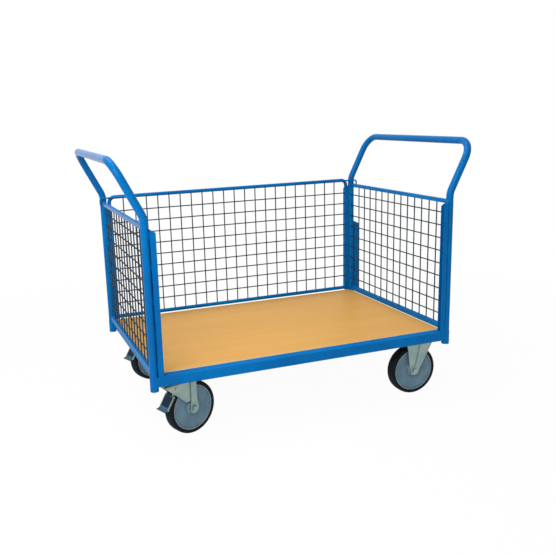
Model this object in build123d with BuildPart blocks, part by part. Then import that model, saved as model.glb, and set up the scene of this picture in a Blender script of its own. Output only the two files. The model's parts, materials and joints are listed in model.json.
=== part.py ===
from build123d import *
from math import cos, radians, sin
import os

os.makedirs("parts", exist_ok=True)

# All sizes in millimetres. X runs along the platform, Y across it, Z up from the floor.
# The front (-Y) is the open loading side, the left end (-X) carries the swivel casters.

# Platform frame
platform_length = 1220.0
platform_width = 800.0
beam_size = 40.0
beam_height = 37.0
beam_wall = 2.0
beam_round = 4.0
end_beam_width = 14.0
end_beam_inset = 23.0
socket_dia = 30.0
socket_wall = 2.0
socket_drop = 16.0

# Deck
board_thickness = 18.0
board_gap = 1.0
board_chamfer = 0.8
bearer_width = 40.0
bearer_wall = 2.0
bearer_round = 3.0
screw_dia = 5.0
screw_head_dia = 10.0
screw_head_height = 3.0
screw_head_round = 1.2
screw_bite = 12.0
screw_from_plate = 30.0
screw_clearance = 0.1

# End hoops
tube_dia = 28.0
tube_wall = 1.5
spigot_length = 45.0
spigot_clearance = 0.05
lean_height = 548.0
bar_height = 738.0
bar_reach = 95.4
lean_bend = 70.0
hoop_corner = 70.0
rail_size = 15.0
rail_wall = 1.5
rail_round = 2.0
bottom_rail_height = 21.5
bottom_rail_gap = 0.5
top_rail_height = 514.5

# Wire mesh
mesh_pitch = 50.8
wire_dia = 5.0
end_first_row = 63.3
end_mesh_inset = 3.0

# Guide channels
guide_sheet = 1.5
guide_gap = 17.0
guide_depth = 20.0
guide_height = 512.0
guide_slope = 12.0
guide_round = 5.0
short_guide_depth = 24.0
short_guide_height = 339.0
short_guide_setback = 4.0

# Removable rear panel
panel_tube = 16.0
panel_wall = 1.5
panel_side_gap = 2.5
panel_rise = 24.0
panel_corner = 24.0
panel_rail_height = 10.6
hook_dia = 7.0
hook_weld_length = 48.0
hook_post_gap = 5.5
hook_rail_gap = 5.0
hook_drop = 28.0
hook_bend = 9.0

# Wheels
wheel_dia = 200.0
tyre_width = 45.0
tyre_depth = 15.0
tyre_round = 7.0
rim_width = 40.0
lip_width = 4.0
lip_height = 3.5
lip_slope = 2.0
web_thickness = 22.0
hub_dia = 50.0
hub_width = 46.0
hub_round = 2.0
axle_dia = 12.0
sleeve_dia = 20.0
axle_clearance = 0.05
sleeve_end_gap = 0.1

# Caster forks
swivel_inset = 127.0
fixed_inset = 116.0
caster_inset = 60.0
tyre_clearance = 8.5
trail = 40.0
front_swivel_angle = 20.0
rear_swivel_angle = 22.0
fixed_plate_shift = 13.0
plate_length = 110.0
plate_width = 138.0
plate_thickness = 5.0
plate_round = 8.0
bolt_spacing_x = 80.0
bolt_spacing_y = 105.0
bolt_hole_dia = 11.0
bolt_dia = 10.0
bolt_length = 18.0
bolt_head_size = 17.0
bolt_head_height = 6.4
bolt_clearance = 0.1
fork_gap = 48.0
fork_sheet = 3.5
fork_bend = 8.0
boss_dia = 38.0
rib_height = 2.5
strip_width = 26.0
groove_width = 9.0
groove_depth = 1.5
head_nose = 82.0
nose_depth = 82.0
nose_end = 8.0
nose_lip = 4.0
fixed_front = 35.0
fixed_back = 83.0
fixed_shoulder = 18.0
fixed_rib_width = 16.0
axle_head_size = 19.0
axle_head_height = 6.0
axle_flange_dia = 24.0
axle_flange_thickness = 1.5
axle_nut_height = 8.0

# Swivel head
dish_dia = 88.0
dish_wall = 3.0
dish_depth = 13.0
race_dia = 56.0
race_height = 9.0
ring_dia = 44.0
ring_wire = 5.4
ring_gap = 0.6
kingpin_dia = 12.0
kingpin_head_size = 19.0
kingpin_head_height = 8.0
kingpin_clearance = 0.05
kingpin_nut_height = 9.0
kingpin_nut_gap = 0.3

# Brake pedals
pivot_angle = 51.8
pivot_gap = 19.6
pivot_dia = 8.0
pivot_clearance = 0.05
pivot_head_dia = 13.0
pivot_head_height = 2.5
pedal_sheet = 2.5
pedal_width = 53.0
pedal_top_angle = 45.7
pedal_top_gap = 8.9
pedal_toe_angle = 10.9
pedal_toe_gap = 16.1
pedal_flange = 6.0
pedal_neck = 39.0
pedal_shoulder = 16.0
toe_length = 14.0
toe_lift = 3.0
cheek_boss = 9.0
shoe_width = 30.0
shoe_length = 22.0
shoe_thickness = 1.0

# Positions that follow from the sizes above, starting from the floor
axle_z = wheel_dia / 2
rim_radius = wheel_dia / 2 - tyre_depth
leg_inner = fork_gap / 2
leg_outer = leg_inner + fork_sheet
leg_face = leg_outer + rib_height
crown_z = wheel_dia + tyre_clearance + fork_sheet
ring_middle = crown_z + race_height + ring_wire / 2
plate_bottom = ring_middle + ring_wire / 2 + ring_gap + dish_wall
plate_top = plate_bottom + plate_thickness
frame_bottom = plate_top
deck_height = frame_bottom + beam_height
board_bottom = deck_height - board_thickness
bearer_depth = board_bottom - frame_bottom
socket_bottom = frame_bottom - socket_drop
post_x = platform_length / 2 - socket_dia / 2
post_y = platform_width / 2 - socket_dia / 2
end_face = platform_length / 2 - end_beam_inset
beam_y = platform_width / 2 - beam_size / 2
inner_y = platform_width / 2 - beam_size
board_front = inner_y - board_gap
notch_x = post_x - socket_dia / 2 - board_gap
notch_y = post_y - socket_dia / 2 - board_gap
swivel_x = swivel_inset - platform_length / 2
fixed_x = platform_length / 2 - fixed_inset
fixed_plate_x = fixed_x + fixed_plate_shift
caster_y = inner_y - caster_inset
bar_x = post_x + bar_reach
bar_z = deck_height + bar_height
bottom_rail_z = deck_height + bottom_rail_gap + bottom_rail_height / 2
top_rail_z = deck_height + top_rail_height
end_clear = 2 * post_y - tube_dia
end_columns = int(end_clear // mesh_pitch) - 1
column_low = bottom_rail_z + bottom_rail_height / 2
column_high = top_rail_z - rail_size / 2
end_rows = int((column_high - column_low) // mesh_pitch)
guide_width = guide_gap + 2 * guide_sheet
guide_y = post_y + tube_dia / 2 - guide_width / 2
guide_back = post_x - tube_dia / 2
board_rear = guide_y - guide_width / 2 - board_gap
panel_x = guide_back - guide_sheet - panel_side_gap - panel_tube / 2
panel_top = top_rail_z + panel_rise
panel_rail_z = deck_height + panel_rail_height
panel_clear = panel_top - panel_rail_z - panel_tube
panel_columns = int((2 * panel_x - panel_tube) // mesh_pitch) - 1
panel_rows = int(panel_clear // mesh_pitch) - 1
panel_middle = (panel_top + panel_rail_z) / 2
bearer_places = {
    "left_bearers": [swivel_x - bolt_spacing_x / 2, swivel_x + bolt_spacing_x / 2],
    "centre_bearer": [0.0],
    "right_bearers": [fixed_plate_x - bolt_spacing_x / 2, fixed_plate_x + bolt_spacing_x / 2],
}


def save(part, name):
    part.label = name
    export_step(part, f"parts/{name}.step")


def together(*parts):
    return Compound([solid for part in parts for solid in part.solids()])


def box_section(width, height, wall, corner):
    RectangleRounded(width, height, corner)
    RectangleRounded(width - 2 * wall, height - 2 * wall, corner / 2, mode=Mode.SUBTRACT)


def ring_section(diameter, wall):
    Circle(diameter / 2)
    Circle(diameter / 2 - wall, mode=Mode.SUBTRACT)


# Long beams, coped round the corner sockets: the front one guards the board's edge, the rear one is under it
for name, side, height in (("front_beam", -1, beam_height), ("rear_beam", 1, bearer_depth)):
    beam_z = frame_bottom + height / 2
    with BuildPart() as long_beam:
        with BuildSketch(Plane.YZ):
            with Locations((side * beam_y, beam_z)):
                box_section(beam_size, height, beam_wall, beam_round)
        extrude(amount=post_x, both=True)
        with Locations((-post_x, side * post_y, beam_z), (post_x, side * post_y, beam_z)):
            Cylinder(socket_dia / 2, 2 * height, mode=Mode.SUBTRACT)
    save(long_beam.part, name)

# Beams under the ends of the board
for name, side in (("left_beam", -1), ("right_beam", 1)):
    with BuildPart() as end_beam:
        with BuildSketch(Plane.XZ):
            with Locations((side * (end_face - end_beam_width / 2), frame_bottom + bearer_depth / 2)):
                box_section(end_beam_width, bearer_depth, bearer_wall, bearer_round)
        extrude(amount=inner_y, both=True)
    save(end_beam.part, name)

with BuildPart() as socket:
    with BuildSketch(Plane.XY.offset(socket_bottom)):
        ring_section(socket_dia, socket_wall)
    extrude(amount=deck_height - socket_bottom)

for name, x, y in (
    ("front_left_socket", -post_x, -post_y),
    ("front_right_socket", post_x, -post_y),
    ("rear_left_socket", -post_x, post_y),
    ("rear_right_socket", post_x, post_y),
):
    save(Location((x, y, 0)) * socket.part, name)

# Bearers that carry the board and the caster plates
caster_bolts_at = [
    (x + dx * bolt_spacing_x / 2, y + dy * bolt_spacing_y / 2)
    for x in (swivel_x, fixed_plate_x)
    for y in (-caster_y, caster_y)
    for dx in (-1, 1)
    for dy in (-1, 1)
]
screw_y = caster_y - plate_width / 2 - screw_from_plate
screw_rows = [-screw_y, 0.0, screw_y]
screws_at = [(x, y) for places in bearer_places.values() for x in places for y in screw_rows]

for name, places in bearer_places.items():
    with BuildPart() as bearer:
        with BuildSketch(Plane.XZ):
            with Locations(*[(x, frame_bottom + bearer_depth / 2) for x in places]):
                box_section(bearer_width, bearer_depth, bearer_wall, bearer_round)
        extrude(amount=inner_y, both=True)
        bolts_here = [at for at in caster_bolts_at if at[0] in places]
        if bolts_here:
            with BuildSketch(Plane.XY.offset(frame_bottom)):
                with Locations(*bolts_here):
                    Circle(bolt_dia / 2 + bolt_clearance)
            extrude(amount=bearer_depth / 2, mode=Mode.SUBTRACT)
        with BuildSketch(Plane.XY.offset(frame_bottom)):
            with Locations(*[at for at in screws_at if at[0] in places]):
                Circle(screw_dia / 2 + screw_clearance)
        extrude(amount=bearer_depth, mode=Mode.SUBTRACT)
    save(bearer.part, name)

# Deck board, let in behind the front beam, notched round the rear sockets, up to the rear channels
with BuildPart() as board:
    with BuildSketch(Plane.XY.offset(board_bottom)):
        with Locations((0, -board_front)):
            Rectangle(2 * end_face, board_front + notch_y, align=(Align.CENTER, Align.MIN))
            Rectangle(2 * notch_x, board_front + board_rear, align=(Align.CENTER, Align.MIN))
    extrude(amount=board_thickness)
    chamfer(board.faces().sort_by(Axis.Z)[-1].edges(), board_chamfer)
    with BuildSketch(Plane.XY.offset(board_bottom)):
        with Locations(*screws_at):
            Circle(screw_dia / 2 + screw_clearance)
    extrude(amount=screw_bite + screw_clearance, mode=Mode.SUBTRACT)
save(board.part, "deck_board")

# Screws that hold the board from below
with BuildPart() as screw:
    with BuildSketch(Plane.XY.offset(frame_bottom)):
        Circle(screw_head_dia / 2)
    extrude(amount=-screw_head_height)
    fillet(screw.edges().group_by(Axis.Z)[0], screw_head_round)
    with BuildSketch(Plane.XY.offset(frame_bottom)):
        Circle(screw_dia / 2)
    extrude(amount=bearer_depth + screw_bite)
save(together(*[Location((x, y, 0)) * screw.part for x, y in screws_at]), "deck_screws")

# End hoops: posts, outward lean and push bar bent from one tube, swaged to enter the sockets
for name, side in (("left_hoop", -1), ("right_hoop", 1)):
    with BuildPart() as hoop:
        with BuildLine():
            FilletPolyline(
                (side * post_x, -post_y, deck_height),
                (side * post_x, -post_y, deck_height + lean_height),
                (side * bar_x, -post_y, bar_z),
                (side * bar_x, post_y, bar_z),
                (side * post_x, post_y, deck_height + lean_height),
                (side * post_x, post_y, deck_height),
                radius=[lean_bend, hoop_corner, hoop_corner, lean_bend],
            )
        with BuildSketch(Plane((side * post_x, -post_y, deck_height))):
            ring_section(tube_dia, tube_wall)
        sweep()
        with BuildSketch(Plane.XY.offset(deck_height)):
            with Locations((side * post_x, -post_y), (side * post_x, post_y)):
                ring_section(socket_dia - 2 * socket_wall - 2 * spigot_clearance, tube_wall)
        extrude(amount=-spigot_length)
    save(hoop.part, name)

# Rails of the ends, coped to the posts
for end, side in (("left", -1), ("right", 1)):
    for level, rail_z, height in (("top", top_rail_z, rail_size), ("bottom", bottom_rail_z, bottom_rail_height)):
        with BuildPart() as rail:
            with BuildSketch(Plane.XZ):
                with Locations((side * post_x, rail_z)):
                    box_section(rail_size, height, rail_wall, rail_round)
            extrude(amount=post_y, both=True)
            with Locations((side * post_x, -post_y, rail_z), (side * post_x, post_y, rail_z)):
                Cylinder(tube_dia / 2, 2 * height, mode=Mode.SUBTRACT)
        save(rail.part, f"{end}_{level}_rail")

# Welded mesh of the ends: the rows lie on the inner side of the columns
for name, side in (("left_mesh", -1), ("right_mesh", 1)):
    column_x = side * (post_x - end_mesh_inset + wire_dia / 2)
    row_x = side * (post_x - end_mesh_inset - wire_dia / 2)
    with BuildPart() as columns:
        with BuildSketch(Plane.XY.offset(column_low)):
            with Locations((column_x, 0)):
                with GridLocations(mesh_pitch, mesh_pitch, 1, end_columns):
                    Circle(wire_dia / 2)
        extrude(amount=column_high - column_low)
    with BuildPart() as rows:
        with BuildSketch(Plane.XZ):
            first = deck_height + end_first_row
            with Locations(*[(row_x, first + mesh_pitch * k) for k in range(end_rows)]):
                Circle(wire_dia / 2)
        extrude(amount=post_y, both=True)
        with Locations((side * post_x, -post_y, top_rail_z / 2), (side * post_x, post_y, top_rail_z / 2)):
            Cylinder(tube_dia / 2, 2 * top_rail_z, mode=Mode.SUBTRACT)
    save(together(columns.part, rows.part), name)


# Channels on the posts, with a sloped mouth
def channel(depth, height):
    with BuildPart() as made:
        with BuildSketch(Plane.XY.offset(deck_height)):
            with Locations((depth / 2, 0)):
                Rectangle(depth, guide_width)
            with Locations((depth / 2 + guide_sheet, 0)):
                Rectangle(depth, guide_gap, mode=Mode.SUBTRACT)
        extrude(amount=height)
        with BuildSketch(Plane.XZ) as side_view:
            with BuildLine():
                Polyline(
                    (0, deck_height),
                    (depth, deck_height),
                    (depth, deck_height + height - guide_slope),
                    (0, deck_height + height),
                    close=True,
                )
            make_face()
            fillet(side_view.vertices().group_by(Axis.X)[-1].sort_by(Axis.Y)[-1], guide_round)
        extrude(amount=guide_width, both=True, mode=Mode.INTERSECT)
    return made.part


guide = channel(guide_depth, guide_height)
for name, x, y, turn in (
    ("front_left_guide", -guide_back, -guide_y, 0),
    ("front_right_guide", guide_back, -guide_y, 180),
    ("rear_left_guide", -guide_back, guide_y, 0),
    ("rear_right_guide", guide_back, guide_y, 180),
):
    save(Location((x, y, 0), (0, 0, turn)) * guide, name)
short_guide_at = (post_x + tube_dia / 2, guide_y - short_guide_setback, 0)
save(Location(short_guide_at) * channel(short_guide_depth, short_guide_height), "outer_guide")

# Rear panel: bent frame tube, bottom rail, welded mesh and two hook rods
with BuildPart() as panel_frame:
    with BuildLine():
        FilletPolyline(
            (-panel_x, guide_y, deck_height),
            (-panel_x, guide_y, panel_top),
            (panel_x, guide_y, panel_top),
            (panel_x, guide_y, deck_height),
            radius=panel_corner,
        )
    with BuildSketch(Plane((-panel_x, guide_y, deck_height))):
        ring_section(panel_tube, panel_wall)
    sweep()
save(panel_frame.part, "panel_frame")

with BuildPart() as panel_rail:
    with BuildSketch(Plane.YZ):
        with Locations((guide_y, panel_rail_z)):
            ring_section(panel_tube, panel_wall)
    extrude(amount=panel_x, both=True)
    with Locations((-panel_x, guide_y, panel_rail_z), (panel_x, guide_y, panel_rail_z)):
        Cylinder(panel_tube / 2, 2 * panel_tube, mode=Mode.SUBTRACT)
save(panel_rail.part, "panel_rail")

with BuildPart() as panel_columns_part:
    with BuildSketch(Plane.XY.offset(panel_rail_z)):
        with Locations((0, guide_y + wire_dia / 2)):
            with GridLocations(mesh_pitch, mesh_pitch, panel_columns, 1):
                Circle(wire_dia / 2)
    extrude(amount=panel_top - panel_rail_z)
    with Locations((0, guide_y, panel_rail_z), (0, guide_y, panel_top)):
        Cylinder(panel_tube / 2, 2 * panel_x, rotation=(0, 90, 0), mode=Mode.SUBTRACT)

with BuildPart() as panel_rows_part:
    with BuildSketch(Plane.YZ):
        with Locations((guide_y - wire_dia / 2, panel_middle)):
            with GridLocations(mesh_pitch, mesh_pitch, 1, panel_rows):
                Circle(wire_dia / 2)
    extrude(amount=panel_x, both=True)
    with Locations((-panel_x, guide_y, panel_middle), (panel_x, guide_y, panel_middle)):
        Cylinder(panel_tube / 2, 2 * panel_clear, mode=Mode.SUBTRACT)
save(together(panel_columns_part.part, panel_rows_part.part), "panel_mesh")

hook_front = guide_y - panel_tube / 2 - hook_dia / 2
hook_inner = post_y - tube_dia / 2 - hook_post_gap - hook_dia / 2
hook_end = post_x + rail_size / 2 + hook_rail_gap + hook_dia / 2
hook_start = panel_x - panel_corner - hook_weld_length
for name, side in (("left_hook", -1), ("right_hook", 1)):
    with BuildPart() as hook:
        with BuildLine():
            FilletPolyline(
                (side * hook_start, hook_front, panel_top),
                (side * (panel_x - panel_corner), hook_front, panel_top),
                (side * (panel_x + panel_tube / 2), hook_inner, panel_top),
                (side * hook_end, hook_inner, panel_top),
                (side * hook_end, hook_inner, panel_top - hook_drop),
                radius=hook_bend,
            )
        with BuildSketch(Plane((side * hook_start, hook_front, panel_top), z_dir=(side, 0, 0))):
            Circle(hook_dia / 2)
        sweep()
    save(hook.part, name)


# Casters are drawn about the point on the floor below the kingpin, or below the fixed axle.
# The swivel fork trails toward +X.
def half_turned(points):
    return points + [(r, -y) for r, y in reversed(points)]


def beside_tyre(angle, gap):
    reach = wheel_dia / 2 + gap
    return trail - reach * cos(radians(angle)), axle_z + reach * sin(radians(angle))


pivot = beside_tyre(pivot_angle, pivot_gap)
pedal_top = beside_tyre(pedal_top_angle, pedal_top_gap)
pedal_toe = beside_tyre(pedal_toe_angle, pedal_toe_gap)

with BuildPart() as wheel:
    with BuildSketch(Plane.XY) as wheel_section:
        with BuildLine():
            Polyline(
                *half_turned(
                    [
                        (sleeve_dia / 2 + axle_clearance, hub_width / 2),
                        (hub_dia / 2 - hub_round, hub_width / 2),
                        (hub_dia / 2, hub_width / 2 - hub_round),
                        (hub_dia / 2 + 2 * hub_round, web_thickness / 2 + hub_round),
                        (hub_dia / 2 + 4 * hub_round, web_thickness / 2),
                        (rim_radius - lip_width - lip_slope, rim_width / 2 - lip_height),
                        (rim_radius - lip_width, rim_width / 2),
                        (rim_radius, rim_width / 2),
                    ]
                ),
                close=True,
            )
        make_face()
    revolve(axis=Axis.Y)

with BuildPart() as tyre:
    with BuildSketch(Plane.XY) as tyre_section:
        with Locations((rim_radius + tyre_depth / 2, 0)):
            Rectangle(tyre_depth, tyre_width)
        fillet(tyre_section.vertices().group_by(Axis.X)[-1], tyre_round)
        chamfer(tyre_section.vertices().group_by(Axis.X)[0], (tyre_width - rim_width) / 2)
    revolve(axis=Axis.Y)

# Axle: bolt with flanged head, sleeve inside the hub, nut
with BuildPart() as axle_bolt:
    with BuildSketch(Plane.XZ.offset(leg_face)):
        Circle(axle_flange_dia / 2)
    extrude(amount=axle_flange_thickness)
    with BuildSketch(Plane.XZ.offset(leg_face + axle_flange_thickness)):
        RegularPolygon(axle_head_size / 2, 6, major_radius=False)
    extrude(amount=axle_head_height)
    with BuildSketch(Plane.XZ.offset(leg_face)):
        Circle(axle_dia / 2)
    extrude(amount=-2 * leg_face - axle_flange_thickness - axle_nut_height - axle_dia / 4)
    chamfer(axle_bolt.faces().sort_by(Axis.Y)[-1].edges(), axle_dia / 8)

with BuildPart() as axle_nut:
    with BuildSketch(Plane.XZ.offset(-leg_face)):
        Circle(axle_flange_dia / 2)
    extrude(amount=-axle_flange_thickness)
    with BuildSketch(Plane.XZ.offset(-leg_face - axle_flange_thickness)):
        RegularPolygon(axle_head_size / 2, 6, major_radius=False)
    extrude(amount=-axle_nut_height)
    with Locations((0, leg_face, 0)):
        Cylinder(axle_dia / 2 + axle_clearance, 4 * axle_nut_height, rotation=(90, 0, 0), mode=Mode.SUBTRACT)

with BuildPart() as sleeve:
    with BuildSketch(Plane.XZ):
        Circle(sleeve_dia / 2)
        Circle(axle_dia / 2 + axle_clearance, mode=Mode.SUBTRACT)
    extrude(amount=leg_inner - sleeve_end_gap, both=True)

axle = together(axle_bolt.part, axle_nut.part, sleeve.part)


# Sheet bent over the wheel, an upside-down U in end view
def bent_sheet(top):
    with BuildPart() as made:
        with BuildSketch(Plane.YZ) as outside:
            with Locations((0, top / 2)):
                Rectangle(2 * leg_outer, top)
            fillet(outside.vertices().group_by(Axis.Y)[-1], fork_bend)
        extrude(amount=plate_width, both=True)
        with BuildSketch(Plane.YZ) as inside:
            with Locations((0, (top - fork_sheet) / 2)):
                Rectangle(fork_gap, top - fork_sheet)
            fillet(inside.vertices().group_by(Axis.Y)[-1], fork_bend - fork_sheet)
        extrude(amount=plate_width, both=True, mode=Mode.SUBTRACT)
    return made.part


with BuildPart() as fixed_fork:
    add(bent_sheet(plate_bottom))
    with BuildSketch(Plane.XZ) as fixed_side:
        with Locations((0, axle_z)):
            Circle(boss_dia / 2)
        with Locations(((fixed_back - fixed_front) / 2, plate_bottom - fixed_shoulder / 2)):
            Rectangle(fixed_front + fixed_back, fixed_shoulder)
        make_hull()
    extrude(amount=leg_outer, both=True, mode=Mode.INTERSECT)
    rib_top = plate_bottom - fork_bend - fork_sheet
    for side in (-1, 1):
        with BuildSketch(Plane.XZ.offset(side * leg_outer)):
            with Locations((0, axle_z)):
                Circle(boss_dia / 2)
            with BuildLine():
                Polyline(
                    (0, axle_z + boss_dia / 4),
                    (fixed_rib_width, axle_z),
                    (fixed_rib_width * 2.6, rib_top),
                    (fixed_rib_width * 1.6, rib_top),
                    close=True,
                )
            make_face()
        extrude(amount=side * rib_height, taper=8)
    with BuildSketch(Plane.XY.offset(plate_bottom)):
        with Locations((fixed_plate_shift, 0)):
            RectangleRounded(plate_length, plate_width, plate_round)
            with GridLocations(bolt_spacing_x, bolt_spacing_y, 2, 2):
                Circle(bolt_hole_dia / 2, mode=Mode.SUBTRACT)
    extrude(amount=plate_thickness)
    with Locations((0, 0, axle_z)):
        Cylinder(axle_dia / 2 + axle_clearance, 4 * leg_face, rotation=(90, 0, 0), mode=Mode.SUBTRACT)

# Leg of the swivel fork: a strip that widens to the boss round the axle
def leg_strip(top):
    with Locations((trail, axle_z)):
        Circle(boss_dia / 2)
    with Locations((trail, axle_z + boss_dia)):
        Rectangle(strip_width, fork_sheet)
    make_hull()
    with Locations((trail, (axle_z + top) / 2)):
        Rectangle(strip_width, top - axle_z)


with BuildPart() as swivel_fork:
    add(bent_sheet(crown_z))
    with BuildSketch(Plane.XZ):
        leg_strip(crown_z)
        with BuildLine():
            Polyline(
                (-head_nose, crown_z),
                (trail, crown_z),
                (trail, crown_z - nose_depth),
                (nose_end, crown_z - nose_depth),
                (-head_nose, crown_z - nose_lip),
                close=True,
            )
        make_face()
    extrude(amount=leg_outer, both=True, mode=Mode.INTERSECT)
    for side in (-1, 1):
        with BuildSketch(Plane.XZ.offset(side * leg_outer)):
            leg_strip(crown_z - fork_bend)
        extrude(amount=side * rib_height, taper=8)
        with BuildSketch(Plane.XZ.offset(side * leg_outer)):
            with Locations((trail - (strip_width + groove_width) / 2, crown_z - fork_bend - nose_depth / 2)):
                Rectangle(groove_width, nose_depth)
        extrude(amount=-side * groove_depth, mode=Mode.SUBTRACT)
    with BuildSketch(Plane.XY.offset(crown_z)):
        Circle(race_dia / 2)
    extrude(amount=race_height)
    with Locations((0, 0, crown_z)):
        Cylinder(kingpin_dia / 2 + kingpin_clearance, 4 * race_height, mode=Mode.SUBTRACT)
    with Locations((trail, 0, axle_z)):
        Cylinder(axle_dia / 2 + axle_clearance, 4 * leg_face, rotation=(90, 0, 0), mode=Mode.SUBTRACT)
    with Locations((pivot[0], 0, pivot[1])):
        Cylinder(pivot_dia / 2 + pivot_clearance, 4 * leg_face, rotation=(90, 0, 0), mode=Mode.SUBTRACT)

# Swivel head: plate with its dish, ball ring, kingpin with nut
with BuildPart() as top_plate:
    with BuildSketch(Plane.XY.offset(plate_bottom)):
        RectangleRounded(plate_length, plate_width, plate_round)
        with GridLocations(bolt_spacing_x, bolt_spacing_y, 2, 2):
            Circle(bolt_hole_dia / 2, mode=Mode.SUBTRACT)
    extrude(amount=plate_thickness)
    with BuildSketch(Plane.XY.offset(plate_bottom)):
        Circle(dish_dia / 2)
    extrude(amount=-dish_depth)
    with BuildSketch(Plane.XY.offset(plate_bottom - dish_wall)):
        Circle(dish_dia / 2 - dish_wall)
    extrude(amount=dish_wall - dish_depth, mode=Mode.SUBTRACT)
    with Locations((0, 0, plate_top)):
        Cylinder(kingpin_dia / 2 + kingpin_clearance, 4 * plate_thickness, mode=Mode.SUBTRACT)

with BuildPart() as ball_ring:
    with BuildSketch(Plane.XZ):
        with Locations((ring_dia / 2, ring_middle)):
            Circle(ring_wire / 2)
    revolve(axis=Axis.Z)

nut_top = crown_z - fork_sheet - kingpin_nut_gap
with BuildPart() as kingpin:
    with BuildSketch(Plane.XY.offset(plate_top)):
        RegularPolygon(kingpin_head_size / 2, 6, major_radius=False)
    extrude(amount=kingpin_head_height)
    with BuildSketch(Plane.XY.offset(plate_top)):
        Circle(kingpin_dia / 2)
    extrude(amount=nut_top - plate_top)
    with BuildSketch(Plane.XY.offset(nut_top)):
        RegularPolygon(kingpin_head_size / 2, 6, major_radius=False)
    extrude(amount=-kingpin_nut_height)

# Brake pedal: bent foot plate with side flanges, a narrow neck between the fork legs, and a shoe
slope = (Vector(*pedal_toe) - Vector(*pedal_top)).normalized()
shoulder = Vector(*pedal_top) + slope * pedal_shoulder
neck_end = (shoulder.X, shoulder.Y)
toe_end = (pedal_toe[0] - toe_length, pedal_toe[1] - toe_lift)
middle = Vector((pedal_top[0] + pedal_toe[0]) / 2, 0, (pedal_top[1] + pedal_toe[1]) / 2)
with BuildPart() as pedal:
    for start, width in ((pedal_top, pedal_neck), (neck_end, pedal_width)):
        with BuildSketch(Plane.XZ):
            with BuildLine():
                Polyline(start, pedal_toe, toe_end)
            trace(line_width=pedal_sheet)
        extrude(amount=width / 2, both=True)
    for side in (-1, 1):
        with BuildSketch(Plane.XZ.offset(side * pedal_neck / 2)):
            with Locations(pivot):
                Circle(cheek_boss)
            with Locations(pedal_top, neck_end):
                Circle(pedal_flange / 2)
            make_hull()
            with Locations(pivot):
                Circle(pivot_dia / 2 + pivot_clearance, mode=Mode.SUBTRACT)
        extrude(amount=-side * pedal_sheet)
        with BuildSketch(Plane.XZ.offset(side * pedal_width / 2)):
            with Locations(neck_end, pedal_toe):
                Circle(pedal_flange / 2)
            make_hull()
        extrude(amount=-side * pedal_sheet)
    with BuildSketch(Plane(middle, x_dir=(0, 1, 0), z_dir=(-slope.Y, 0, slope.X))):
        RectangleRounded(shoe_width, shoe_length, pedal_sheet)
    extrude(amount=pedal_sheet / 2 + shoe_thickness)

with BuildPart() as pivot_pin:
    with BuildSketch(Plane.XZ.offset(leg_outer)):
        with Locations(pivot):
            Circle(pivot_head_dia / 2)
    extrude(amount=pivot_head_height)
    with BuildSketch(Plane.XZ.offset(leg_outer)):
        with Locations(pivot):
            Circle(pivot_dia / 2)
    extrude(amount=-2 * leg_outer)
    with BuildSketch(Plane.XZ.offset(-leg_outer)):
        with Locations(pivot):
            Circle(pivot_head_dia / 2)
    extrude(amount=-pivot_head_height)

# The four casters
for corner, y, angle in (
    ("front_left", -caster_y, front_swivel_angle),
    ("rear_left", caster_y, rear_swivel_angle),
):
    fixed_place = Location((swivel_x, y, 0))
    place = Location((swivel_x, y, 0), (0, 0, angle))
    on_axle = place * Location((trail, 0, axle_z))
    save(fixed_place * top_plate.part, f"{corner}_plate")
    save(fixed_place * kingpin.part, f"{corner}_kingpin")
    save(place * ball_ring.part, f"{corner}_ball_ring")
    save(place * swivel_fork.part, f"{corner}_fork")
    save(place * pedal.part, f"{corner}_pedal")
    save(place * pivot_pin.part, f"{corner}_pedal_pin")
    save(on_axle * axle, f"{corner}_axle")
    save(on_axle * wheel.part, f"{corner}_wheel")
    save(on_axle * tyre.part, f"{corner}_tyre")

for corner, y in (("front_right", -caster_y), ("rear_right", caster_y)):
    place = Location((fixed_x, y, 0))
    on_axle = place * Location((0, 0, axle_z))
    save(place * fixed_fork.part, f"{corner}_fork")
    save(on_axle * axle, f"{corner}_axle")
    save(on_axle * wheel.part, f"{corner}_wheel")
    save(on_axle * tyre.part, f"{corner}_tyre")

with BuildPart() as caster_bolt:
    with BuildSketch(Plane.XY.offset(plate_bottom)):
        RegularPolygon(bolt_head_size / 2, 6, major_radius=False)
    extrude(amount=-bolt_head_height)
    with BuildSketch(Plane.XY.offset(plate_bottom)):
        Circle(bolt_dia / 2)
    extrude(amount=bolt_length)
save(together(*[Location((x, y, 0)) * caster_bolt.part for x, y in caster_bolts_at]), "caster_bolts")
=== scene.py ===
import bmesh
import bpy
import json
import random
from math import atan2, cos, pi, radians, sin, sqrt
from mathutils import Matrix, Vector


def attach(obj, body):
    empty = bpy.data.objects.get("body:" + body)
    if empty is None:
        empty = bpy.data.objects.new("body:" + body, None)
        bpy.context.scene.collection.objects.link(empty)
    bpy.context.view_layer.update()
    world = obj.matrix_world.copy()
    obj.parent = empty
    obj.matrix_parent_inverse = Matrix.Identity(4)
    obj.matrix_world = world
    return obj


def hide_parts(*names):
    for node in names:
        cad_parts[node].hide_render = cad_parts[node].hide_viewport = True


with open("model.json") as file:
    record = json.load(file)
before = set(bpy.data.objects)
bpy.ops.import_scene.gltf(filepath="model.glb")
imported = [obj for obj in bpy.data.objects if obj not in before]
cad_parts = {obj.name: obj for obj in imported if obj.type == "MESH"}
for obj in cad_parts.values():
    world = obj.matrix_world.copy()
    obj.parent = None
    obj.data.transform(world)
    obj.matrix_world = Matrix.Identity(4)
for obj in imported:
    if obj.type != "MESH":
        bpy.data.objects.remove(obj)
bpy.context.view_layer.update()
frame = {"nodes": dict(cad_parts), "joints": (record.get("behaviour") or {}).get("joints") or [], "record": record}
nodes = frame["nodes"]
joints = {joint["name"]: joint for joint in frame["joints"]}
chance = random.Random(11)
print("frame loaded,", len(nodes), "nodes")


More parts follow.
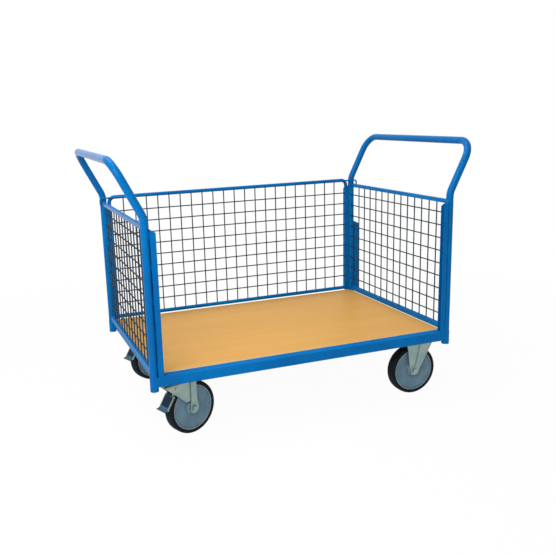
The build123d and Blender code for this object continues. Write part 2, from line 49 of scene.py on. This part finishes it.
class Flow:  # a node's output; sums on it become Math nodes
    def __init__(self, out):
        self.out = out

    def sum(self, operation, first, second):
        tree = self.out.id_data
        made = tree.nodes.new("ShaderNodeMath")
        made.operation = operation
        for spot, value in enumerate((first, second)):
            if isinstance(value, Flow):
                tree.links.new(value.out, made.inputs[spot])
            else:
                made.inputs[spot].default_value = value
        return Flow(made.outputs[0])

    def __add__(self, other):
        return self.sum("ADD", self, other)

    def __radd__(self, other):
        return self.sum("ADD", other, self)

    def __sub__(self, other):
        return self.sum("SUBTRACT", self, other)

    def __rsub__(self, other):
        return self.sum("SUBTRACT", other, self)

    def __mul__(self, other):
        return self.sum("MULTIPLY", self, other)

    def __rmul__(self, other):
        return self.sum("MULTIPLY", other, self)


class Finish:  # a material and the nodes behind it
    def __init__(self, name):
        self.material = bpy.data.materials.new(name)
        self.material.use_nodes = True
        self.tree = self.material.node_tree
        self.shader = self.tree.nodes["Principled BSDF"]
        self.place = self.node("ShaderNodeTexCoord", {}, {}, "Object")

    def node(self, kind, settings, sockets, out=0):
        made = self.tree.nodes.new(kind)
        for key, value in settings.items():
            setattr(made, key, value)
        for key, value in sockets.items():
            self.feed(made.inputs[key], value)
        return Flow(made.outputs[out])

    def feed(self, socket, value):
        if isinstance(value, Flow):
            self.tree.links.new(value.out, socket)
        else:
            socket.default_value = value

    def noise(self, scale, detail=3.0, stretch=(1, 1, 1)):
        where = self.node("ShaderNodeMapping", {}, {"Vector": self.place, "Scale": stretch})
        return self.node("ShaderNodeTexNoise", {}, {"Vector": where, "Scale": scale, "Detail": detail})

    def span(self, value, low, high):  # 0 at low, 1 at high, held beyond
        sockets = {"Value": value, "From Min": low, "From Max": high}
        return self.node("ShaderNodeMapRange", {"interpolation_type": "SMOOTHSTEP"}, sockets)

    def mix(self, share, first, second):
        return self.node("ShaderNodeMix", {"data_type": "RGBA"}, {0: share, 6: first, 7: second}, 2)

    def bump(self, height, depth, strength):
        return self.node("ShaderNodeBump", {}, {"Height": height, "Distance": depth, "Strength": strength})

    def attribute(self, name):
        return self.node("ShaderNodeAttribute", {"attribute_name": name}, {}, "Fac")

    def upward(self):  # 1 on faces that look up
        normal = self.node("ShaderNodeNewGeometry", {}, {}, "Normal")
        height = self.node("ShaderNodeSeparateXYZ", {}, {"Vector": normal}, "Z")
        return self.span(height, 0.55, 0.98)

    def along(self, axis):  # place along X, Y or Z
        return self.node("ShaderNodeSeparateXYZ", {}, {"Vector": self.place}, axis)

    def dress(self, sockets):
        for key, value in sockets.items():
            self.feed(self.shader.inputs[key], value)
        return self.material


bluePaint = {
    "deep": (0.0, 0.130, 0.400, 1),
    "bright": (0.0, 0.170, 0.495, 1),
    "dust": (0.04, 0.20, 0.44, 1),
    "gloss": 0.12,
    "scuffed": 0.24, "scuffTop": 0.34, "scuffFull": 0.26,  # roughness added near the floor
    "dusted": 0.30, "dustTop": 0.81, "dustFull": 0.80,  # and on top faces below the hoops
    "cloudsPerMetre": 4.5, "peelPerMetre": 620.0, "gritPerMetre": 2600.0,
    "patchesPerMetre": 38.0, "patchShare": 0.22,
}


def makeBluePaint():  # powder coat: orange peel, slow clouds, a trace of dust on top, dulled near the floor
    finish = Finish("bluePowderCoat")
    cloud = finish.noise(bluePaint["cloudsPerMetre"], 4.0)
    peel = finish.noise(bluePaint["peelPerMetre"], 2.0)
    grit = finish.noise(bluePaint["gritPerMetre"], 1.0)
    upward = finish.upward()
    patches = finish.span(finish.noise(bluePaint["patchesPerMetre"], 5.0), 0.48, 0.72)
    settled = upward * patches * bluePaint["patchShare"]
    colour = finish.mix(finish.span(cloud, 0.3, 0.7), bluePaint["deep"], bluePaint["bright"])
    height = finish.along("Z")
    nearFloor = 1.0 - finish.span(height, bluePaint["scuffFull"], bluePaint["scuffTop"])
    belowHoops = 1.0 - finish.span(height, bluePaint["dustFull"], bluePaint["dustTop"])
    dulled = nearFloor * bluePaint["scuffed"] + upward * belowHoops * bluePaint["dusted"]
    return finish.dress({
        "Base Color": finish.mix(settled, colour, bluePaint["dust"]),
        "Roughness": bluePaint["gloss"] + dulled + cloud * 0.08 + grit * 0.05 + settled * 0.5,
        "Normal": finish.bump(peel + grit * 0.25, 0.00008, 0.25),
        "Specular IOR Level": 0.07,
    })


wirePaint = {"dark": (0.007, 0.018, 0.030, 1), "pale": (0.020, 0.045, 0.068, 1), "gloss": 0.34}


def makeWirePaint():  # thin dipped coat on drawn wire
    finish = Finish("slateWireCoat")
    cloud = finish.noise(60.0, 3.0)
    skin = finish.noise(1500.0, 2.0)
    return finish.dress({
        "Base Color": finish.mix(cloud, wirePaint["dark"], wirePaint["pale"]),
        "Roughness": wirePaint["gloss"] + skin * 0.16,
        "Normal": finish.bump(skin, 0.0001, 0.4),
        "Specular IOR Level": 0.3,
    })


zincPlate = {
    "grey": (0.225, 0.330, 0.325, 1),
    "straw": (0.375, 0.450, 0.380, 1),
    "paintedShade": (0.045, 0.065, 0.070, 1),
    "spanglesPerMetre": 210.0, "cloudsPerMetre": 13.0, "rollMarksPerMetre": 240.0,
    "shadeReach": 0.010,
}


def makeZinc():  # plated sheet: fine spangle, rolling marks, straw and green clouds, painted shade in the creases
    finish = Finish("zincPlate")
    sockets = {"Vector": finish.place, "Scale": zincPlate["spanglesPerMetre"]}
    cells = finish.node("ShaderNodeTexVoronoi", {}, sockets, "Color")
    spangle = finish.node("ShaderNodeRGBToBW", {}, {"Color": cells})
    cloud = finish.noise(zincPlate["cloudsPerMetre"], 4.0)
    rolled = finish.noise(zincPlate["rollMarksPerMetre"], 3.0, (1, 1, 0.06))
    # painted shade: ambient occlusion darkens the creases and recesses toward a dark colour
    sockets = {"Distance": zincPlate["shadeReach"]}
    creaseShade = finish.node("ShaderNodeAmbientOcclusion", {"samples": 8}, sockets, "AO")
    tint = finish.span(cloud, 0.35, 0.68) * 0.75 + spangle * 0.12
    colour = finish.mix(tint, zincPlate["grey"], zincPlate["straw"])
    return finish.dress({
        "Base Color": finish.mix(finish.span(creaseShade, 0.10, 0.70), zincPlate["paintedShade"], colour),
        "Metallic": 0.72 + spangle * 0.12,
        "Roughness": 0.34 + spangle * 0.10 + rolled * 0.12,
        "Normal": finish.bump(rolled + spangle * 0.2, 0.00012, 0.3),
    })


discPlastic = {
    "grey": (0.114, 0.212, 0.284, 1), "pale": (0.156, 0.272, 0.350, 1),
    "grimeAndShade": (0.026, 0.038, 0.046, 1), "edge": (0.34, 0.40, 0.43, 1),
    "flowRings": 3600.0,  # radians per metre of reach
}


def makeDiscPlastic():  # moulded wheel centre: flow rings, fine grain, grime and painted shade in the corners, painted highlight on the lip and hub
    finish = Finish("wheelCentre")
    reach = finish.attribute("reach")
    cloud = finish.noise(22.0, 4.0)
    grain = finish.noise(900.0, 2.0)
    rings = finish.node("ShaderNodeMath", {"operation": "SINE"}, {0: reach * discPlastic["flowRings"]})
    # grime and painted shade in the recessed corners by the lip and the hub
    corner = finish.attribute("corner") * finish.span(finish.noise(55.0, 5.0), 0.30, 0.62)
    colour = finish.mix(finish.span(cloud, 0.3, 0.7), discPlastic["grey"], discPlastic["pale"])
    # painted highlight: the lip and the ring round the hub are made paler
    rubbed = finish.attribute("edge") * (0.55 + cloud * 0.4)
    soiledAndShaded = finish.mix(corner * 0.6, colour, discPlastic["grimeAndShade"])
    return finish.dress({
        "Base Color": finish.mix(rubbed, soiledAndShaded, discPlastic["edge"]),
        "Roughness": 0.36 + grain * 0.14 + corner * 0.2,
        "Normal": finish.bump(rings * 0.3 + grain, 0.00012, 0.35),
        "Specular IOR Level": 0.3,
    })


rubber = {
    "black": (0.0025, 0.0050, 0.0075, 1),
    "worn": (0.007, 0.013, 0.019, 1),
    "dust": (0.028, 0.050, 0.075, 1),
}


def makeRubber():  # solid tyre: dull sidewall, rubbed and dusty tread
    finish = Finish("tyreRubber")
    tread = finish.attribute("tread")
    cloud = finish.noise(35.0, 5.0)
    pores = finish.noise(1100.0, 2.0)
    dusty = tread * finish.span(cloud, 0.42, 0.74)
    colour = finish.mix(tread * 0.55 + cloud * 0.25, rubber["black"], rubber["worn"])
    return finish.dress({
        "Base Color": finish.mix(dusty * 0.25, colour, rubber["dust"]),
        "Roughness": 0.52 + tread * 0.18 + pores * 0.16,
        "Normal": finish.bump(pores + cloud * 0.4, 0.0002, 0.5),
        "Specular IOR Level": 0.12,
    })


veneer = {
    "honey": (0.750, 0.395, 0.084, 1),
    "amber": (0.660, 0.330, 0.064, 1),
    "fleck": (0.430, 0.200, 0.045, 1),
    "sanded": (0.600, 0.560, 0.450, 1),
    "front": 0.359, "sandedFull": 0.002, "sandedWidth": 0.0042,
}


def makeVeneer():  # sealed beech face: broad figure, fine streaks, short flecks, pale sanded front edge
    finish = Finish("beechVeneer")
    figure = finish.noise(1.0, 5.0, (1.6, 13.0, 13.0))
    streak = finish.noise(1.0, 4.0, (7.0, 190.0, 190.0))
    fleck = finish.span(finish.noise(1.0, 2.0, (75.0, 620.0, 620.0)), 0.61, 0.74)
    tone = finish.span(figure, 0.30, 0.72) * 0.42 + streak * 0.30
    colour = finish.mix(tone, veneer["honey"], veneer["amber"])
    faced = finish.mix(fleck * 0.34, colour, veneer["fleck"])
    fromFront = finish.along("Y") + veneer["front"]
    bare = (1.0 - finish.span(fromFront, veneer["sandedFull"], veneer["sandedWidth"])) * (0.75 + streak * 0.35)
    return finish.dress({
        "Base Color": finish.mix(bare, faced, veneer["sanded"]),
        "Roughness": 0.40 + streak * 0.12 + fleck * 0.12,
        "Normal": finish.bump(streak * 0.5 - fleck, 0.0001, 0.3),
        "Specular IOR Level": 0.25,
    })


pedalPaint = {
    "blueBlack": (0.005, 0.022, 0.046, 1), "rubbed": (0.026, 0.060, 0.090, 1),
    "border": (0.060, 0.150, 0.225, 1),
}


def makePedalPaint():  # dark enamel, rubbed thin where feet press; pale border, partly worn edge and partly painted highlight on the edges and the bend
    finish = Finish("pedalEnamel")
    cloud = finish.noise(45.0, 5.0)
    scuff = finish.span(finish.noise(320.0, 4.0, (1, 1, 0.25)), 0.56, 0.72)
    # pale border: partly worn edge, partly painted highlight along the edges and the bend
    ground = finish.mix(finish.attribute("borderWearAndHighlight"), pedalPaint["blueBlack"], pedalPaint["border"])
    return finish.dress({
        "Base Color": finish.mix(scuff * cloud, ground, pedalPaint["rubbed"]),
        "Roughness": 0.24 + cloud * 0.16 + scuff * 0.12,
        "Normal": finish.bump(finish.noise(700.0, 2.0), 0.00012, 0.35),
        "Specular IOR Level": 0.12,
    })


finishes = {
    "blue_paint": makeBluePaint(),
    "wire_paint": makeWirePaint(),
    "zinc": makeZinc(),
    "pedal_black": makePedalPaint(),
    "wheel_disc": makeDiscPlastic(),
    "tyre": makeRubber(),
    "deck": makeVeneer(),
}
for entry in frame["record"]["subparts"]:
    for slot in nodes[entry["node"]].material_slots:
        slot.material = finishes[entry["material_slot"]]
print("finishes on the solid parts:", len(finishes))


def addPiece(name, bm, body, finishSlots, sharp=35.0, stands=()):  # mesh to object, dressed and riding
    mesh = bpy.data.meshes.new(name)
    bm.to_mesh(mesh)
    bm.free()
    for face in mesh.polygons:
        face.use_smooth = True
    mesh.set_sharp_from_angle(angle=radians(sharp))
    for slotName in finishSlots:
        mesh.materials.append(finishes[slotName])
    piece = bpy.data.objects.new(name, mesh)
    bpy.context.scene.collection.objects.link(piece)
    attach(piece, body)
    if stands:
        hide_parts(*stands)
    return piece


def turnOutline(outline, rounding, steps):  # outline of one half, mirrored, rounded and spun about Y
    bm = bmesh.new()
    loop = outline + [(reach, -side) for reach, side in reversed(outline)]
    verts = [bm.verts.new((reach, side, 0)) for reach, side in loop]
    for first, second in zip(verts, verts[1:] + verts[:1]):
        bm.edges.new((first, second))
    bmesh.ops.bevel(bm, geom=bm.verts[:], offset=rounding, offset_type="OFFSET", segments=2,
                    profile=0.5, affect="VERTICES", material=-1)
    bmesh.ops.spin(bm, geom=bm.verts[:] + bm.edges[:], cent=(0, 0, 0), axis=(0, 1, 0),
                   angle=2 * pi, steps=steps, use_merge=True)
    bmesh.ops.remove_doubles(bm, verts=bm.verts[:], dist=0.00001)
    bmesh.ops.recalc_face_normals(bm, faces=bm.faces[:])
    return bm


def axleTurn(corner):  # from the Y axis to the axle, about Z
    axis = joints[corner + "_roll"]["axis"]
    return Matrix.Rotation(atan2(-axis[0], axis[1]), 4, "Z")


def wheelPlace(corner):  # from the wheel's own axis to where it stands
    return Matrix.Translation(joints[corner + "_roll"]["pos_m"]) @ axleTurn(corner)


tyreShape = {
    "outline": [
        (0.0850, 0.0200), (0.0866, 0.0220), (0.0894, 0.0225), (0.0899, 0.0219), (0.0906, 0.0219),
        (0.0911, 0.0224), (0.0944, 0.0219), (0.0972, 0.0201), (0.0990, 0.0172), (0.0997, 0.0130),
        (0.0999, 0.0084), (0.0992, 0.0077), (0.0992, 0.0059), (0.1000, 0.0052), (0.1000, 0.0005),
    ],
    "rounding": 0.00022, "steps": 128, "shoulder": 0.0955, "fade": 0.003, "sharp": 50,
}


def makeTyre(corner):
    bm = turnOutline(tyreShape["outline"], tyreShape["rounding"], tyreShape["steps"])
    tread = bm.verts.layers.float.new("tread")
    for vert in bm.verts:
        reach = sqrt(vert.co.x ** 2 + vert.co.z ** 2)
        vert[tread] = min(1.0, max(0.0, (reach - tyreShape["shoulder"]) / tyreShape["fade"]))
    bmesh.ops.transform(bm, matrix=wheelPlace(corner), verts=bm.verts[:])
    stands = [corner + "_tyre"]
    return addPiece(corner + "_solid_tyre", bm, corner + "_roller", ["tyre"], tyreShape["sharp"], stands)


discShape = {
    "outline": [
        (0.0101, 0.0230), (0.0136, 0.0230), (0.0140, 0.0223), (0.0160, 0.0223), (0.0164, 0.0230),
        (0.0228, 0.0230), (0.0250, 0.0212), (0.0262, 0.0160), (0.0290, 0.0124), (0.0330, 0.0111),
        (0.0500, 0.0127), (0.0680, 0.0150), (0.0760, 0.0162), (0.0784, 0.0164), (0.0800, 0.0176),
        (0.0808, 0.0195), (0.0816, 0.0200), (0.0843, 0.0200), (0.0850, 0.0194),
    ],
    "rounding": 0.0004, "steps": 112, "sharp": 50,
    "lipGrimeShade": (0.0786, 0.0030), "hubCorner": (0.0285, 0.0045), "hub": (0.0240, 0.0018),  # reach and fade
    "lip": 0.0812,
}


def nearness(value, middle, fade):  # 1 at the middle, 0 beyond the fade
    return 1.0 - min(1.0, abs(value - middle) / fade)


def makeDisc(corner):
    bm = turnOutline(discShape["outline"], discShape["rounding"], discShape["steps"])
    reachLayer = bm.verts.layers.float.new("reach")
    grimeShadeLayer = bm.verts.layers.float.new("corner")
    edgeLayer = bm.verts.layers.float.new("edge")
    for vert in bm.verts:
        reach = sqrt(vert.co.x ** 2 + vert.co.z ** 2)
        vert[reachLayer] = reach
        vert[grimeShadeLayer] = max(nearness(reach, *discShape[key]) for key in ("lipGrimeShade", "hubCorner"))
        # painted highlight on the lip and round the hub
        onLip = 1.0 if reach > discShape["lip"] else 0.0
        vert[edgeLayer] = max(nearness(reach, *discShape["hub"]), onLip)
    bmesh.ops.transform(bm, matrix=wheelPlace(corner), verts=bm.verts[:])
    stands = [corner + "_wheel"]
    return addPiece(corner + "_wheel_centre", bm, corner + "_roller", ["wheel_disc"], discShape["sharp"], stands)


for corner in ("front_left", "rear_left", "front_right", "rear_right"):
    makeTyre(corner)
    makeDisc(corner)
print("wheels turned")


pedalShape = {
    "top": (-0.0361, 0.1779), "neckEnd": (-0.0451, 0.1646), "toe": (-0.0740, 0.1220), "lip": (-0.0880, 0.1190),
    "pivot": (-0.0340, 0.1940), "bossRadius": 0.009, "flangeRadius": 0.003, "rimSteps": 24,
    "halfWidth": 0.0265, "halfNeck": 0.0195, "tab": 0.018, "sheet": 0.0025, "bend": 0.006,
    "border": 0.0046, "paleShare": 0.7, "pressed": 0.0012, "recess": 0.0008,
    "shoe": (0.030, 0.022, 0.0010), "sharp": 30,
}


def casterPlace(corner):  # from below the kingpin to where the caster stands
    x, y = joints[corner + "_swivel"]["pos_m"][:2]
    return Matrix.Translation((x, y, 0)) @ axleTurn(corner)


def addCheek(bm, side, layer, discs):  # flat cheek drawn tight round a few discs, in bright plate
    rims = []
    for (u, z), reach in discs:
        for depth in (layer, layer - pedalShape["sheet"]):
            place = Matrix.Translation((u, side * depth, z)) @ Matrix.Rotation(pi / 2, 4, "X")
            rims += bmesh.ops.create_circle(
                bm, cap_ends=False, segments=pedalShape["rimSteps"], radius=reach, matrix=place)["verts"]
    hull = bmesh.ops.convex_hull(bm, input=rims)
    for part in hull["geom"]:
        if isinstance(part, bmesh.types.BMFace):
            part.material_index = 1
    left = hull["geom_interior"] + hull["geom_unused"]
    spare = [part for part in left if isinstance(part, bmesh.types.BMVert)]
    bmesh.ops.delete(bm, geom=list(set(spare)), context="VERTS")


def makePedal(corner):
    shape = pedalShape
    bm = bmesh.new()
    turns = (shape["neckEnd"], shape["toe"], shape["lip"])
    bends = [bm.verts.new((u, -shape["halfWidth"], z)) for u, z in turns]
    for first, second in zip(bends, bends[1:]):
        bm.edges.new((first, second))
    bmesh.ops.bevel(bm, geom=[bends[1]], offset=shape["bend"], offset_type="OFFSET", segments=4,
                    profile=0.5, affect="VERTICES", material=-1)
    swept = bmesh.ops.extrude_edge_only(bm, edges=bm.edges[:])["geom"]
    moved = [part for part in swept if isinstance(part, bmesh.types.BMVert)]
    bmesh.ops.translate(bm, vec=(0, 2 * shape["halfWidth"], 0), verts=moved)
    top, toe = (Vector((shape[key][0], 0, shape[key][1])) for key in ("top", "toe"))
    slope = (toe - top).normalized()
    inward = Vector((-slope.z, 0, slope.x))  # towards the tyre
    plate = max(bm.faces, key=lambda face: face.calc_area())
    for width in (shape["border"], shape["pressed"]):
        bmesh.ops.inset_region(bm, faces=[plate], thickness=width, use_boundary=True, use_even_offset=True)
    bmesh.ops.translate(bm, vec=inward * shape["recess"], verts=plate.verts[:])
    aside = Vector((0, shape["halfNeck"], 0))
    tab = [top - aside, top + aside, top + slope * shape["tab"] + aside, top + slope * shape["tab"] - aside]
    bm.faces.new([bm.verts.new(spot) for spot in tab])
    bmesh.ops.recalc_face_normals(bm, faces=bm.faces[:])
    for face in bm.faces:
        if face.normal.dot(inward) > 0:
            face.normal_flip()
    bmesh.ops.solidify(bm, geom=bm.faces[:], thickness=shape["sheet"])
    bmesh.ops.translate(bm, vec=inward * (-shape["sheet"] / 2), verts=bm.verts[:])
    # the outer strips and the bend get the pale border with its painted highlight
    borderWearAndHighlight = bm.verts.layers.float.new("borderWearAndHighlight")
    paleFrom = shape["halfWidth"] - shape["paleShare"] * shape["border"]
    for vert in bm.verts:
        vert[borderWearAndHighlight] = 0.0 if abs(vert.co.y) < paleFrom else 1.0
    flange = shape["flangeRadius"]
    neckDiscs = [(shape["pivot"], shape["bossRadius"]), (shape["top"], flange), (shape["neckEnd"], flange)]
    plateDiscs = [(shape["neckEnd"], flange), (shape["toe"], flange)]
    for side in (-1, 1):
        addCheek(bm, side, shape["halfNeck"], neckDiscs)
        addCheek(bm, side, shape["halfWidth"], plateDiscs)
    width, length, proud = shape["shoe"]
    thick = shape["sheet"] / 2 + proud
    pad = bmesh.ops.create_cube(bm, size=1.0)["verts"]
    bmesh.ops.scale(bm, vec=(width, length, thick), verts=pad)
    bmesh.ops.translate(bm, vec=(0, 0, thick / 2), verts=pad)
    turned = Matrix((Vector((0, 1, 0)), slope, inward)).transposed().to_4x4()
    bmesh.ops.transform(bm, matrix=Matrix.Translation((top + toe) / 2) @ turned, verts=pad)
    bmesh.ops.recalc_face_normals(bm, faces=bm.faces[:])
    bmesh.ops.transform(bm, matrix=casterPlace(corner), verts=bm.verts[:])
    slots = ["pedal_black", "zinc"]
    return addPiece(corner + "_foot_pedal", bm, corner + "_brake", slots, shape["sharp"], [corner + "_pedal"])


for corner in ("front_left", "rear_left"):
    makePedal(corner)
print("pedals bent")


frameSizes = {
    "postX": 0.595, "postY": 0.385, "tube": 0.014, "railHalf": 0.0075,
    "rails": ((0.7865, 0.0075), (0.28325, 0.01075)),  # middle and half height
    "groove": 0.008, "proud": 0.0010,  # where a channel's edge meets the tube
    "guideStitches": (0.300, 0.415, 0.530, 0.645, 0.755), "outerStitches": (0.290, 0.430, 0.580),
    "frameBottom": 0.235, "socket": 0.015, "socketOpen": 0.011,
}
beadShape = {"radius": 0.0019, "spacing": 0.0024, "stitch": 0.022, "sharp": 80}
corners = [(end, side) for end in (-1, 1) for side in (-1, 1)]


def addBlob(bm, spot, radius):
    size = radius * chance.uniform(0.86, 1.14)
    bmesh.ops.create_icosphere(bm, subdivisions=1, radius=size, matrix=Matrix.Translation(spot))


def addStitch(bm, x, y, level):  # short upright bead
    for step in range(int(beadShape["stitch"] / beadShape["spacing"])):
        addBlob(bm, (x, y, level + step * beadShape["spacing"]), beadShape["radius"])


def aroundSection(halfWide, halfHigh):  # evenly spaced spots round a rectangle
    across = int(2 * halfWide / beadShape["spacing"])
    upward = int(2 * halfHigh / beadShape["spacing"])
    wide = [halfWide * (2 * step / across - 1) for step in range(across + 1)]
    high = [halfHigh * (2 * step / upward - 1) for step in range(1, upward)]
    spots = [(x, halfHigh * up) for x in wide for up in (-1, 1)]
    return spots + [(halfWide * out, z) for z in high for out in (-1, 1)]


def makeFrameWelds():  # beads where the rails, channels and sockets meet the tube and the beams
    sizes = frameSizes
    bm = bmesh.new()
    for end, side in corners:
        for level, halfHigh in sizes["rails"]:
            for dx, dz in aroundSection(sizes["railHalf"], halfHigh):
                y = sizes["postY"] - sqrt(sizes["tube"] ** 2 - dx ** 2)
                addBlob(bm, (end * sizes["postX"] + dx, side * y, level + dz), beadShape["radius"])
    grooveX = sqrt(sizes["tube"] ** 2 - sizes["groove"] ** 2) + sizes["proud"]
    for end, side in corners:
        for level in sizes["guideStitches"]:
            addStitch(bm, end * (sizes["postX"] - grooveX), side * (sizes["postY"] + sizes["groove"]), level)
    for side in (-1, 1):  # the short outer channel, both edges
        for level in sizes["outerStitches"]:
            addStitch(bm, sizes["postX"] + grooveX, sizes["postY"] + side * sizes["groove"], level)
    ring = int(2 * pi * sizes["socket"] / beadShape["spacing"])
    for end, side in corners:
        for step in range(ring):
            dx = sizes["socket"] * cos(2 * pi * step / ring)
            dy = sizes["socket"] * sin(2 * pi * step / ring)
            if end * dx < sizes["socketOpen"] and side * dy < sizes["socketOpen"]:
                spot = (end * sizes["postX"] + dx, side * sizes["postY"] + dy, sizes["frameBottom"])
                addBlob(bm, spot, beadShape["radius"])
    return addPiece("frame_welds", bm, "chassis", ["blue_paint"], beadShape["sharp"])


panelSizes = {
    "x": 0.569, "y": 0.389, "tube": 0.008, "railZ": 0.2826, "top": 0.8105,
    "tackTurn": 17.0, "tack": 0.0017,
    "hookStart": 0.497, "hookEnd": 0.545, "hookMargin": 0.003,
    "hookBeads": 19, "hookBead": 0.0016, "hookProud": 0.0004, "hookRise": 0.0026,
}


def makePanelWelds():  # tacks at the panel's bottom rail and along its hook rods
    sizes = panelSizes
    bm = bmesh.new()
    seam = sizes["hookEnd"] - sizes["hookStart"] - 2 * sizes["hookMargin"]
    for end in (-1, 1):
        for up in (-1, 1):
            for step in range(-2, 3):
                angle = radians(sizes["tackTurn"] * step)
                dy = sizes["tube"] * sin(angle)
                x = sizes["x"] - sqrt(sizes["tube"] ** 2 - dy ** 2)
                z = sizes["railZ"] + up * sizes["tube"] * cos(angle)
                addBlob(bm, (end * x, sizes["y"] + dy, z), sizes["tack"])
        for up in (-1, 1):
            for step in range(sizes["hookBeads"]):
                x = sizes["hookStart"] + sizes["hookMargin"] + step * seam / (sizes["hookBeads"] - 1)
                y = sizes["y"] - sizes["tube"] - sizes["hookProud"]
                addBlob(bm, (end * x, y, sizes["top"] + up * sizes["hookRise"]), sizes["hookBead"])
    return addPiece("panel_welds", bm, "rear_panel", ["blue_paint"], beadShape["sharp"])


wireSizes = {
    "pitch": 0.0508, "halfWire": 0.0025, "nugget": 0.0021, "foot": 0.0030,
    "endColumns": 13, "endRows": 9, "endFirst": 0.3353, "endX": 0.592,
    "endFeet": (0.2945, 0.7785), "postFeet": 0.3717,
    "panelColumns": 21, "panelRows": 9, "panelMiddle": 0.54655,
    "panelFeet": (0.2904, 0.8027), "panelSides": 0.5610,
}


def pitched(count, middle=0.0):  # spots one pitch apart about a middle
    return [middle + (k - (count - 1) / 2) * wireSizes["pitch"] for k in range(count)]


def makeEndNuggets(name, end):  # resistance welds at the crossings, and the wires' feet on rails and posts
    sizes = wireSizes
    bm = bmesh.new()
    rows = [sizes["endFirst"] + k * sizes["pitch"] for k in range(sizes["endRows"])]
    for y in pitched(sizes["endColumns"]):
        for z in rows:
            addBlob(bm, (end * sizes["endX"], y, z), sizes["nugget"])
        for z in sizes["endFeet"]:
            addBlob(bm, (end * (sizes["endX"] + sizes["halfWire"]), y, z), sizes["foot"])
    for z in rows:
        for side in (-1, 1):
            spot = (end * (sizes["endX"] - sizes["halfWire"]), side * sizes["postFeet"], z)
            addBlob(bm, spot, sizes["foot"])
    return addPiece(name, bm, "chassis", ["wire_paint"], beadShape["sharp"])


def makePanelNuggets():
    sizes = wireSizes
    bm = bmesh.new()
    rows = pitched(sizes["panelRows"], sizes["panelMiddle"])
    for x in pitched(sizes["panelColumns"]):
        for z in rows:
            addBlob(bm, (x, panelSizes["y"], z), sizes["nugget"])
        for z in sizes["panelFeet"]:
            addBlob(bm, (x, panelSizes["y"] + sizes["halfWire"], z), sizes["foot"])
    for z in rows:
        for end in (-1, 1):
            spot = (end * sizes["panelSides"], panelSizes["y"] - sizes["halfWire"], z)
            addBlob(bm, spot, sizes["foot"])
    return addPiece("panel_nuggets", bm, "rear_panel", ["wire_paint"], beadShape["sharp"])


makeFrameWelds()
makePanelWelds()
makeEndNuggets("left_nuggets", -1)
makeEndNuggets("right_nuggets", 1)
makePanelNuggets()
print("welds laid")


studio = {
    "floorSize": 15.0,
    "floorColour": (0.90, 0.90, 0.90, 1),
    "floorGlow": 0.96, "glowNear": 0.9, "glowFar": 3.2,  # share near the part, and where it grows to full
    "ambient": 0.27,
    "lamps": {
        "key": {"at": (-1.8, -1.9, 1.9), "size": 1.6, "power": 47.0},
        "fill": {"at": (2.8, -2.8, 2.2), "size": 2.4, "power": 2.0},
        "top": {"at": (-0.9, 0.3, 3.6), "size": 2.6, "power": 80.0},
    },
    "aim": (0.0, 0.0, 0.45),
}


def raySeen(tree):  # 1 for rays that show the backdrop itself
    path = tree.nodes.new("ShaderNodeLightPath")
    kinds = ("Is Camera Ray", "Is Glossy Ray", "Is Transmission Ray")
    camera, glossy, through = (Flow(path.outputs[kind]) for kind in kinds)
    return camera + glossy + through


def makeFloor():
    bm = bmesh.new()
    bmesh.ops.create_grid(bm, x_segments=2, y_segments=2, size=studio["floorSize"])
    mesh = bpy.data.meshes.new("floor")
    bm.to_mesh(mesh)
    bm.free()
    floor = bpy.data.objects.new("floor", mesh)
    bpy.context.scene.collection.objects.link(floor)
    finish = Finish("paleFloor")
    speck = finish.noise(40.0, 4.0)
    finish.dress({"Base Color": studio["floorColour"], "Roughness": 0.75 + speck * 0.1, "Specular IOR Level": 0.1})
    seen = raySeen(finish.tree)
    glow = finish.node("ShaderNodeEmission", {}, {"Color": (1, 1, 1, 1), "Strength": 1.0})
    distance = finish.node("ShaderNodeVectorMath", {"operation": "LENGTH"}, {0: finish.place}, "Value")
    away = finish.span(distance, studio["glowNear"], studio["glowFar"])
    share = studio["floorGlow"] + away * (1.0 - studio["floorGlow"])
    lit = finish.node("ShaderNodeMixShader", {}, {0: seen * share, 1: Flow(finish.shader.outputs[0]), 2: glow})
    finish.tree.links.new(lit.out, finish.tree.nodes["Material Output"].inputs["Surface"])
    mesh.materials.append(finish.material)


def makeWorld():
    world = bpy.data.worlds.new("studio")
    world.use_nodes = True
    bpy.context.scene.world = world
    tree = world.node_tree
    background = tree.nodes["Background"]
    level = studio["ambient"] + raySeen(tree) * (1.0 - studio["ambient"])
    background.inputs["Color"].default_value = (1, 1, 1, 1)
    tree.links.new(level.out, background.inputs["Strength"])


def makeLamps():
    for name, lamp in studio["lamps"].items():
        data = bpy.data.lights.new(name, "AREA")
        data.shape = "SQUARE"
        data.size = lamp["size"]
        data.energy = lamp["power"]
        made = bpy.data.objects.new(name, data)
        bpy.context.scene.collection.objects.link(made)
        made.location = lamp["at"]
        aimed = Vector(studio["aim"]) - Vector(lamp["at"])
        made.rotation_euler = aimed.to_track_quat("-Z", "Y").to_euler()


viewpoint = {
    "at": (-1.09641, -2.66345, 1.15096), "yaw": 19.90, "pitch": 13.22, "roll": -1.99,
    "lens": 46.25, "shiftX": 0.0701, "shiftY": 0.0012,
}


def makeCamera():
    yaw, pitch, roll = (radians(viewpoint[key]) for key in ("yaw", "pitch", "roll"))
    ahead = Vector((sin(yaw) * cos(pitch), cos(yaw) * cos(pitch), -sin(pitch)))
    right = Vector((cos(yaw), -sin(yaw), 0))
    above = right.cross(ahead)
    tiltedRight = cos(roll) * right + sin(roll) * above
    tiltedUp = -sin(roll) * right + cos(roll) * above
    data = bpy.data.cameras.new("photoView")
    data.sensor_width = 36.0
    data.lens = viewpoint["lens"]
    data.shift_x = viewpoint["shiftX"]
    data.shift_y = viewpoint["shiftY"]
    camera = bpy.data.objects.new("photoView", data)
    bpy.context.scene.collection.objects.link(camera)
    turn = Matrix((tiltedRight, tiltedUp, -ahead)).transposed().to_4x4()
    camera.matrix_world = Matrix.Translation(viewpoint["at"]) @ turn
    bpy.context.scene.camera = camera


makeFloor()
makeWorld()
makeLamps()
makeCamera()
bpy.context.scene.view_settings.view_transform = "Standard"
print("studio set")
